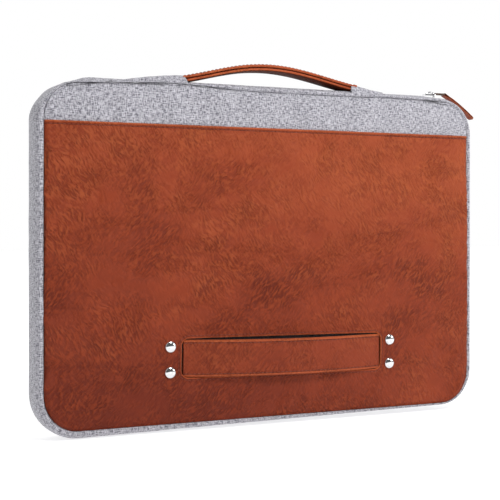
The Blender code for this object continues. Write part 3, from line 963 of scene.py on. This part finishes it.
def coil_row(name, side, x_low, x_high):
    """Rounded zip elements on one side, which reach past the zip's middle line between the others."""
    pitch = 1.6 * MM
    shape = bmesh.new()
    shift = 0 if side < 0 else pitch / 2
    first = math.ceil((x_low + 1.5 * MM - shift) / pitch)
    last = math.floor((x_high - 0.5 * MM - shift) / pitch)
    for i in range(first, last + 1):
        centre = Vector((i * pitch + shift, ZIP_Y + side * 0.75 * MM, TAPE_Z + 0.45 * MM))
        matrix = Matrix.Translation(centre) @ Matrix.Diagonal((0.36 * MM, 1.25 * MM, 0.62 * MM, 1))
        bmesh.ops.create_uvsphere(shape, u_segments=8, v_segments=5, radius=1, matrix=matrix)
    return from_bmesh(name, shape, COIL, 80)


def make_zip_end():
    """A canvas tab folded over the zip's left end."""
    def point(across, along):
        x = -178 * MM + along * 18 * MM
        lift = 1.3 * MM * math.sin(math.pi * min(along * 12 / 11, 1)) ** 0.5
        y = mix(STRIP_REAR - 0.8 * MM, 13.0 * MM, across)
        return x, y, tape_height(x) + lift - 0.7 * MM * abs(2 * across - 1) ** 4

    rows = lattice(steps(0, 1, 12), steps(0, 1, 12), point)
    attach(grid("zip_end_tab", rows, CANVAS), "root")


# Stitches


def stitch_row(name, points, body=None):
    """Short round threads laid end to end along a line of points."""
    shape = bmesh.new()
    path = [Vector(p) for p in points]
    lengths = [0]
    for a, b in zip(path, path[1:]):
        lengths.append(lengths[-1] + (b - a).length)
    count = max(1, int(lengths[-1] / STITCH_PITCH))
    segment = 0
    for k in range(count):
        place = (k + 0.5) * lengths[-1] / count
        while segment < len(path) - 2 and lengths[segment + 1] < place:
            segment += 1
        a, b = path[segment], path[segment + 1]
        centre = a.lerp(b, (place - lengths[segment]) / max((b - a).length, 1e-9))
        turn = Vector((1, 0, 0)).rotation_difference((b - a).normalized()).to_matrix().to_4x4()
        size = Matrix.Diagonal((STITCH_LENGTH / 2, STITCH_RADIUS, STITCH_RADIUS, 1))
        matrix = Matrix.Translation(centre) @ turn @ size
        bmesh.ops.create_uvsphere(shape, u_segments=7, v_segments=6, radius=1, matrix=matrix)
    obj = from_bmesh(name, shape, THREAD, 80)
    if body:
        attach(obj, body)
    return obj


def make_panel_stitches():
    z = HEM_TOP - HEM_STITCH
    reach = PANEL_HALF - 3 * MM
    hem = [(x, front_face(x, z) + 0.2 * MM, z) for x in steps(-reach, reach, 120)]
    stitch_row("hem_stitches", hem, "root")
    line = []
    for x, z in window_outline(2.25 * MM):
        px, pz = lean(x, z)
        line.append((px, front_face(px, pz) - 0.15 * MM, pz))
    stitch_row("window_stitches", line + line[:1], "root")


# Hand strap


def strap_back(x):
    """Y of the strap's back face at an offset from its middle."""
    share = x / WINDOW_HALF_X
    return BAND_Y - 0.3 * MM - 7.0 * MM * max(0, 1 - share * share)


def strap_section():
    """(z offset, distance in front of the back face) round a two-layer strap with folded edges."""
    front = [
        (-1.0, 0.0), (-1.0, 0.55), (-0.985, 1.2), (-0.955, 1.85), (-0.92, 2.3), (-0.885, 2.45),
        (-0.855, 2.25), (-0.82, 2.0), (-0.785, 2.25), (-0.74, 2.42), (-0.5, 2.55), (-0.25, 2.62), (0, 2.65),
    ]
    ring = front + [(-z, d) for z, d in reversed(front[:-1])] + [(0.5, -0.05), (0, -0.05), (-0.5, -0.05)]
    return [(z * STRAP_HALF_Z, d * MM) for z, d in ring]


def strap_point(x, z, rise):
    """A point on the strap: it sags a little in the middle."""
    sag = 0.9 * MM * max(0, 1 - (x / WINDOW_HALF_X) ** 2)
    px, pz = lean(x, z - STRAP_DROP - sag)
    return px, strap_back(x) - rise, pz


def soft_strap_point(x, place):
    z, rise = place
    soft = ripple(x, z, 20 * MM, 0.25 * MM, 40) if rise > 1 * MM else 0
    return strap_point(x, z, rise + soft)


def make_hand_strap():
    """Two halves that meet at the middle, each a fixed mesh out to its riveted end."""
    along = 36
    section = strap_section()
    last = len(section) - 5  # the front's last strip of faces; the four after it are the back
    reach = WINDOW_HALF_X - 1.6 * MM
    folds, groove = (1, 2, 3, 4), 6
    for name, side in (("left", -1), ("right", 1)):
        xs = [side * x for x in steps(0, reach, along)]
        rows = lattice(xs, section + section[:1], soft_strap_point)
        strap = grid(f"hand_strap_{name}", rows, STRAP_LEATHER, flip=side > 0)
        # Painted highlight on the folded edges, and painted shade in the groove between the layers.
        paint(strap, FOLD_HIGHLIGHT_LEATHER, lambda i, c: min(i // along, last - i // along) in folds)
        paint(strap, GROOVE_SHADE_LEATHER, lambda i, c: min(i // along, last - i // along) == groove)
        near, far = strap_point(side * reach, 0, 0), strap_point(side * 45 * MM, 0, 0)
        pieces = [strap]
        for edge, z in (("top", 0.82), ("bottom", -0.82)):
            line = [strap_point(x, z * STRAP_HALF_Z, 2.26 * MM) for x in xs]
            pieces.append(stitch_row(f"strap_stitches_{edge}_{name}", line))
        for piece in pieces:
            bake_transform(piece)
            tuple(near)
            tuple(far)
        if side < 0:
            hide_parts("hand_strap_front", "hand_strap_back")


def make_rivets():
    """Domed caps with a fine rolled rim, one over each riveted end of the strap."""
    profile = [(0, 2.2), (0.2, 2.18), (0.4, 2.1), (0.58, 1.95), (0.72, 1.75), (0.84, 1.45), (0.92, 1.1),
               (0.98, 0.6), (1.0, 0.2), (0.99, -0.15)]
    sides = 40
    for number in (1, 2, 3, 4):
        low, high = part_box(f"rivet_cap_{number}")
        centre = (low + high) / 2
        radius = (high.x - low.x) / 2
        face = front_face(centre.x, centre.z)

        def point(i, place):
            share, rise = place
            angle = 2 * math.pi * i / sides
            x = centre.x + radius * share * math.cos(angle)
            return x, face - rise * MM, centre.z + radius * share * math.sin(angle)

        rows = lattice(range(sides), profile, point)
        cap = grid(f"rivet_dome_{number}", rows, CHROME, closed_u=True)
        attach(cap, "root")
        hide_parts(f"rivet_cap_{number}", f"rivet_back_{number}")


# Carrying handle


def handle_height(x):
    """Height of the handle's underside along it, as in the frame."""
    reach = HANDLE_HALF + abs(HANDLE_PEAK_X)
    share = min(abs(x - HANDLE_PEAK_X) / reach, 1)
    parabola = 1 - share * share
    cosine = (1 + math.cos(math.pi * share)) / 2
    left = 1.2 * MM * smooth((-x - 20 * MM) / (60 * MM))
    return 279.9 * MM - left + 14.5 * MM * (0.6 * parabola + 0.4 * cosine) * 0.86


def handle_section():
    """(y, height) round two folded leather layers with a groove along each side."""
    side = [
        (0, 0.0), (0.5, 0.02), (0.82, 0.08), (0.93, 0.25), (0.99, 0.7), (1.0, 1.2), (0.97, 1.8),
        (0.86, 2.25), (0.78, 2.5), (0.78, 2.7), (0.86, 2.95), (0.97, 3.4), (1.0, 4.0), (0.98, 4.6),
        (0.9, 5.05), (0.5, 5.2),
    ]
    right = [(y * HANDLE_HALF_Y, z * MM) for y, z in side]
    left = [(-y, z) for y, z in reversed(right[1:])]
    return right + [(0, HANDLE_THICK)] + left


def make_handle():
    """Two halves that meet at the middle, each a fixed mesh out to its casing."""
    along = 40
    section = handle_section()
    last = len(section) - 1
    folds, groove = (3, 4, 5, 10, 11, 12, 13), (7, 8, 9)
    for name, side in (("left", -1), ("right", 1)):
        xs = steps(0, side * (HANDLE_HALF + 4 * MM), along)
        rows = lattice(xs, section + section[:1], lambda x, place: (
            x, HANDLE_Y + place[0], handle_height(x) + place[1]
        ))
        strap = grid(f"handle_leather_{name}", rows, STRAP_LEATHER, flip=side < 0)
        # Painted highlight on the folded layer edges, and painted shade in the groove between the layers.
        paint(strap, FOLD_HIGHLIGHT_LEATHER, lambda i, c: min(i // along, last - i // along) in folds)
        paint(strap, SHADE_LEATHER, lambda i, c: min(i // along, last - i // along) in groove)
        # The underside gets the dark copy of the leather: painted shade beneath the handle.
        under = lattice(xs, (-0.93, -0.5, 0, 0.5, 0.93), lambda x, y: (
            x, HANDLE_Y + y * HANDLE_HALF_Y, handle_height(x) - 0.06 * MM - 0.5 * MM * (1 - y * y)
        ))
        pieces = [strap, grid(f"handle_underside_{name}", under, SHADE_LEATHER, flip=side > 0)]
        for edge, y in (("front", -0.8), ("rear", 0.8)):
            line = [(x, HANDLE_Y + y * HANDLE_HALF_Y, handle_height(x) + HANDLE_THICK) for x in xs]
            pieces.append(stitch_row(f"handle_stitches_{edge}_{name}", line))
        for piece in pieces:
            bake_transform(piece)
        if side < 0:
            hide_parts("handle_leather_top", "handle_core", "handle_leather_bottom",
                        "handle_end_left", "handle_end_right")


def casing_rows(side, start, length, seen, slant):
    """Rows round a casing, from its mouth to where it runs out; seen is how far the handle shows."""
    def point(angle, share):
        base_x = start + length * share
        rise = 0.55 * (1 + math.cos(math.pi * share)) / 2 + 0.45 * (1 - share)
        top = strip_height(side * base_x, HANDLE_Y, BULGE) + 0.2 * MM + (5.4 * MM - seen) * rise
        width = HANDLE_HALF_Y + 0.7 * MM * (1 - share) - 1.0 * MM * share
        y = HANDLE_Y - width * math.copysign(abs(math.cos(angle)) ** 0.45, math.cos(angle))
        lift = max(math.sin(angle), 0) ** 0.45
        x = side * (base_x + slant * lift * (1 - share) ** 2)
        foot = strip_height(x, max(y, -EDGE_Y + 1e-5), profile_offset(y)) - 0.6 * MM
        return x, y, mix(foot, top, lift) + ripple(x, y, 9 * MM, 0.35 * MM, 50) * lift

    return lattice([math.pi * (k / 14) for k in range(15)], steps(0, 1, 22), point)


def make_casings():
    """Canvas tunnels that run up from the top strip to the handle's ends."""
    for name, side, start, length, seen, slant in (
        ("left", -1, 75, 64, 0.9, 5), ("right", 1, 73.2, 33, 0.5, 1),
    ):
        rows = casing_rows(side, start * MM, length * MM, seen * MM, slant * MM)
        lip = [(x + side * 1.2 * MM, mix(HANDLE_Y, y, 0.9), z - 0.9 * MM) for x, y, z in rows[0]]
        casing = grid(f"handle_casing_cloth_{name}", [lip] + rows, CANVAS, flip=side < 0)
        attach(casing, "top_strip")
        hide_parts(f"handle_casing_{name}")


def profile_offset(y):
    """Offset of the gusset's profile at a depth y."""
    share = min(abs(y) / EDGE_Y, 1) ** 3
    return BULGE * max(1 - share, 0) ** (1 / 3)


# Zip slider and pull


def make_slider():
    low, high = SLIDER_LOW, SLIDER_HIGH
    centre_x = (low.x + high.x) / 2
    shape = bmesh.new()
    outline = [(-6.0, 2.6), (-5.2, 3.1), (0, 3.2), (3.0, 3.9), (4.8, 3.6), (6.0, 2.2), (6.2, 0)]
    outline += [(x, -y) for x, y in reversed(outline[:-1])]
    plates = ((high.z - 1.2 * MM, high.z, 1), (low.z + 0.4 * MM, low.z + 1.4 * MM, 0.7))
    for base, top, share in plates:
        bottom = [shape.verts.new((centre_x + x * MM, ZIP_Y + y * share * MM, base)) for x, y in outline]
        face = shape.faces.new(bottom)
        lifted = bmesh.ops.extrude_face_region(shape, geom=[face])
        verts = [g for g in lifted["geom"] if isinstance(g, bmesh.types.BMVert)]
        bmesh.ops.translate(shape, vec=(0, 0, top - base), verts=verts)
    place = Matrix.Translation((centre_x + 4.5 * MM, ZIP_Y, (low.z + high.z) / 2))
    size = Matrix.Diagonal((2 * MM, 0.6 * MM, high.z - low.z - 1.2 * MM, 1))
    bmesh.ops.create_cube(shape, size=1, matrix=place @ size)
    body = from_bmesh("slider_body", shape, CHROME, 50)
    rounding = body.modifiers.new("round", "BEVEL")
    rounding.width = 0.3 * MM
    rounding.segments = 3
    apply_modifiers(body)
    body.data.shade_smooth()
    bail_low, bail_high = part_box("slider_bail")
    path = []
    for share in steps(0, 1, 12):
        x = mix(bail_low.x + 0.4 * MM, bail_high.x - 0.4 * MM, share)
        path.append((x, ZIP_Y, high.z + 0.1 * MM + 1.9 * MM * math.sin(math.pi * share) ** 0.55))
    bail = tube("slider_bridge", path, 0.75 * MM, CHROME, closed=False)
    for piece, cad in ((body, "zip_slider"), (bail, "slider_bail")):
        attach(piece, "zip_slider")
        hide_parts(cad)


def make_pull_ring(x_low, x_high, z):
    """The wire link between the slider's bail and the leather pull."""
    half, corner = 2.9 * MM, 1.3 * MM
    path = []
    for cx, cy, start in ((x_high - corner, half - corner, 0), (x_low + corner, half - corner, 90),
                          (x_low + corner, -half + corner, 180), (x_high - corner, -half + corner, 270)):
        for angle in steps(start, start + 90, 5):
            turn = math.radians(angle)
            path.append((cx + corner * math.cos(turn), ZIP_Y + cy + corner * math.sin(turn), z))
    ring = tube("pull_ring", path, 0.6 * MM, BRONZE)
    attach(ring, "pull_link")
    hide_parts("pull_link")


def make_pull():
    """The ring, and two leather layers that hang from it over the corner."""
    low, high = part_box("pull_link")
    z = (low.z + high.z) / 2
    x_low, x_high = low.x + 0.55 * MM, high.x - 0.55 * MM
    make_pull_ring(x_low, x_high, z)
    tab_low, tab_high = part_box("pull_leather_outer")
    start = Vector((x_high, ZIP_Y, z))
    path = Vector((tab_high.x - 0.6 * MM, ZIP_Y, tab_low.z + 0.6 * MM)) - start
    along = path.normalized()
    up = Vector((-along.z, 0, along.x))
    half_y = 3.9 * MM
    section = [(-0.97, 0.12), (-1.0, 0.45), (-0.97, 0.8), (-0.86, 1.0), (-0.72, 0.85), (-0.6, 0.98)]
    section += [(0, 1.02)]
    section += [(-y, r) for y, r in reversed(section[:-1])]
    section += [(0.5, 0.05), (-0.5, 0.05)]
    count = 30
    for name, sign in (("outer", 1), ("inner", -1)):
        def point(share, place):
            y, rise = place
            taper = 1 - 0.25 * max(0, (share - 0.94) / 0.06) ** 2
            neck = 0.72 + 0.28 * smooth(share / 0.3)
            close = 0.35 + 0.65 * smooth(share / 0.12)
            bow = 0.9 * MM * math.sin(math.pi * share)
            apart = 0.9 * MM * (1 - smooth(share / 0.15))
            spot = start + along * (path.length * share) + up * (sign * (rise * MM * close + apart) + bow)
            return spot.x, ZIP_Y + y * half_y * taper * neck, spot.z

        tab = grid(f"pull_tab_{name}", lattice(steps(0, 1, count), section + section[:1], point),
                   STRAP_LEATHER, flip=sign > 0)
        # Painted highlight on the folded edges, and a painted shade line between the two layers at the
        # sides.
        paint(tab, FOLD_HIGHLIGHT_LEATHER, lambda i, c: i // count in (1, 2, 3, 9, 10, 11))
        paint(tab, SHADE_LEATHER, lambda i, c: i // count in (0, 12))
        close_ends(tab)
        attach(tab, "pull_tab")
        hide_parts(f"pull_leather_{name}")
        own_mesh(tab)


def close_ends(obj):
    """Caps the open ends of a tube-like mesh."""
    shape = bmesh.new()
    shape.from_mesh(obj.data)
    bmesh.ops.remove_doubles(shape, verts=shape.verts, dist=1e-7)
    bmesh.ops.holes_fill(shape, edges=[e for e in shape.edges if e.is_boundary], sides=0)
    bmesh.ops.recalc_face_normals(shape, faces=shape.faces)
    shape.to_mesh(obj.data)
    shape.free()
    obj.data.shade_smooth()
    obj.data.set_sharp_from_angle(angle=math.radians(50))


# Camera, floor and light


def make_camera():
    data = bpy.data.cameras.new("camera")
    data.lens = 82.1
    data.sensor_width = 36
    data.shift_y = -0.0507
    data.clip_start = 0.01
    camera = bpy.data.objects.new("camera", data)
    bpy.context.scene.collection.objects.link(camera)
    camera.location = (-0.4167, -0.8608, 0.1651)
    camera.rotation_euler = (math.radians(90), 0, math.radians(-25))
    bpy.context.scene.camera = camera


def make_floor():
    mesh = bpy.data.meshes.new("floor")
    shape = bmesh.new()
    bmesh.ops.create_grid(shape, x_segments=1, y_segments=1, size=6)
    shape.to_mesh(mesh)
    shape.free()
    floor = bpy.data.objects.new("floor", mesh)
    bpy.context.scene.collection.objects.link(floor)
    material, tree, shader = start_material("floor_white")
    feed(tree, shader, {
        "Base Color": (0.6, 0.6, 0.6, 1), "Roughness": 0.9, "Emission Color": (1, 1, 1, 1),
        "Emission Strength": 0.62,
    })
    mesh.materials.append(material)


def area_light(name, place, target, size, power):
    data = bpy.data.lights.new(name, "AREA")
    data.energy = power
    data.size = size
    light = bpy.data.objects.new(name, data)
    bpy.context.scene.collection.objects.link(light)
    light.location = place
    light.rotation_euler = (Vector(target) - Vector(place)).to_track_quat("-Z", "Y").to_euler()


def make_light():
    world = bpy.data.worlds.new("studio")
    bpy.context.scene.world = world
    world.use_nodes = True
    tree = world.node_tree
    direction = tree.nodes.new("ShaderNodeTexCoord").outputs["Generated"]
    _, y, _ = separated(tree, direction)
    side = plus(tree, times(tree, y, 0.5), 0.5)
    sky = ramp(tree, side, [(0.22, (0.12, 0.12, 0.12)), (0.6, (1.0, 1.0, 1.0))])
    feed(tree, tree.nodes["Background"], {"Color": sky, "Strength": 1.0})
    area_light("key", (0.35, -1.0, 1.35), (0, 0, 0.15), 0.45, 17)
    area_light("side", (1.2, -1.0, 0.5), (0.05, 0, 0.15), 0.5, 5)
    bpy.context.scene.view_settings.view_transform = "Standard"


make_camera()
make_floor()
make_light()
make_front_leather()
make_window_rim()
make_canvas_band()
make_window_shadow_sheet()
make_rear_panel()
make_lining()
make_gusset()
make_front_strip()
make_hinge_cloth()
make_rear_strip()
make_zip_end()
make_panel_stitches()
make_hand_strap()
make_rivets()
make_handle()
make_casings()
make_slider()
make_pull()

for cad_name in ("strap_end_left", "strap_end_right"):
    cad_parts[cad_name].data.materials.clear()
    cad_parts[cad_name].data.materials.append(STRAP_LEATHER)
